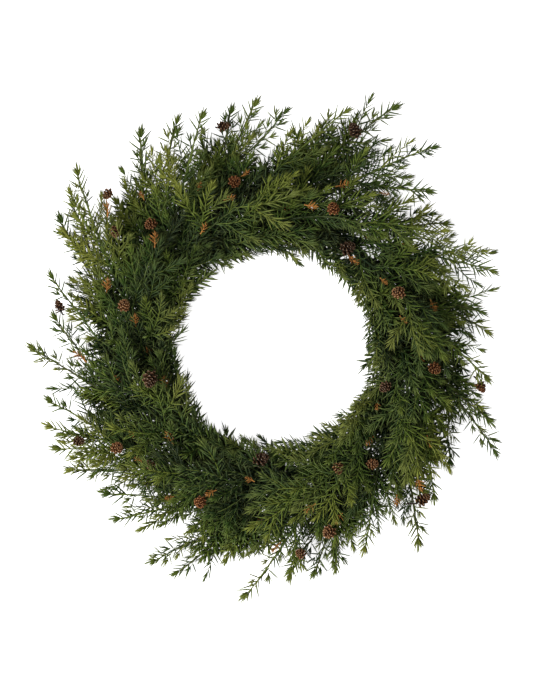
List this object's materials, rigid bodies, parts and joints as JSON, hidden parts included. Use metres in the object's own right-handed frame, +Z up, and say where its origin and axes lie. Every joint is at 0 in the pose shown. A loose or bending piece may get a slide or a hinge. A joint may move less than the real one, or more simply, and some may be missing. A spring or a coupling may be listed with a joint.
{
  "type": "fresh evergreen wreath",
  "caption": "Round wreath of short-needled evergreen sprays wired clockwise to a steel ring, with small brown cones, lying on its back.",
  "frame": {"origin": "middle of the underside of the whole wreath, on the surface that it lies on", "axes": "+Z up out of the front face, +Y towards the top of the wreath when it hangs, +X to its right seen from the front"},
  "size_m": [0.5732, 0.6036, 0.1051],
  "materials": {
    "ring_steel": "dark satin wire ring",
    "green_wire": "green enamelled binding wire",
    "back_foliage": "dark green needles on thin woody twigs",
    "front_foliage": "mid green needles on thin woody twigs",
    "crown_foliage": "fresh green needles on thin woody twigs",
    "inner_foliage": "dark bluish green needles on thin woody twigs",
    "cone": "matte brown cone scales with paler edges"
  },
  "bodies": {
    "root": {"ring_frame": "ring_steel", "binding_wire": "green_wire", "back_spray_01": "back_foliage", "back_spray_02": "back_foliage", "back_spray_03": "back_foliage", "back_spray_04": "back_foliage", "back_spray_05": "back_foliage", "back_spray_06": "back_foliage", "back_spray_07": "back_foliage", "back_spray_08": "back_foliage", "back_spray_09": "back_foliage", "back_spray_10": "back_foliage", "back_spray_11": "back_foliage", "back_spray_12": "back_foliage", "front_spray_01": "front_foliage", "front_spray_02": "front_foliage", "front_spray_03": "front_foliage", "front_spray_04": "front_foliage", "front_spray_05": "front_foliage", "front_spray_06": "front_foliage", "front_spray_07": "front_foliage", "front_spray_08": "front_foliage", "front_spray_09": "front_foliage", "front_spray_10": "front_foliage", "front_spray_11": "front_foliage", "front_spray_12": "front_foliage", "crown_spray_01": "crown_foliage", "crown_spray_02": "crown_foliage", "crown_spray_03": "crown_foliage", "crown_spray_04": "crown_foliage", "crown_spray_05": "crown_foliage", "crown_spray_06": "crown_foliage", "crown_spray_07": "crown_foliage", "crown_spray_08": "crown_foliage", "inner_spray_01": "inner_foliage", "inner_spray_02": "inner_foliage", "inner_spray_03": "inner_foliage", "inner_spray_04": "inner_foliage", "inner_spray_05": "inner_foliage", "inner_spray_06": "inner_foliage", "inner_spray_07": "inner_foliage", "inner_spray_08": "inner_foliage", "cone_01": "cone", "cone_02": "cone", "cone_03": "cone", "cone_04": "cone", "cone_05": "cone", "cone_06": "cone", "cone_07": "cone", "cone_08": "cone", "cone_09": "cone", "cone_10": "cone", "cone_11": "cone", "cone_12": "cone", "cone_13": "cone", "cone_14": "cone", "cone_15": "cone", "cone_16": "cone", "cone_17": "cone", "cone_18": "cone"}
  },
  "joints": []
}
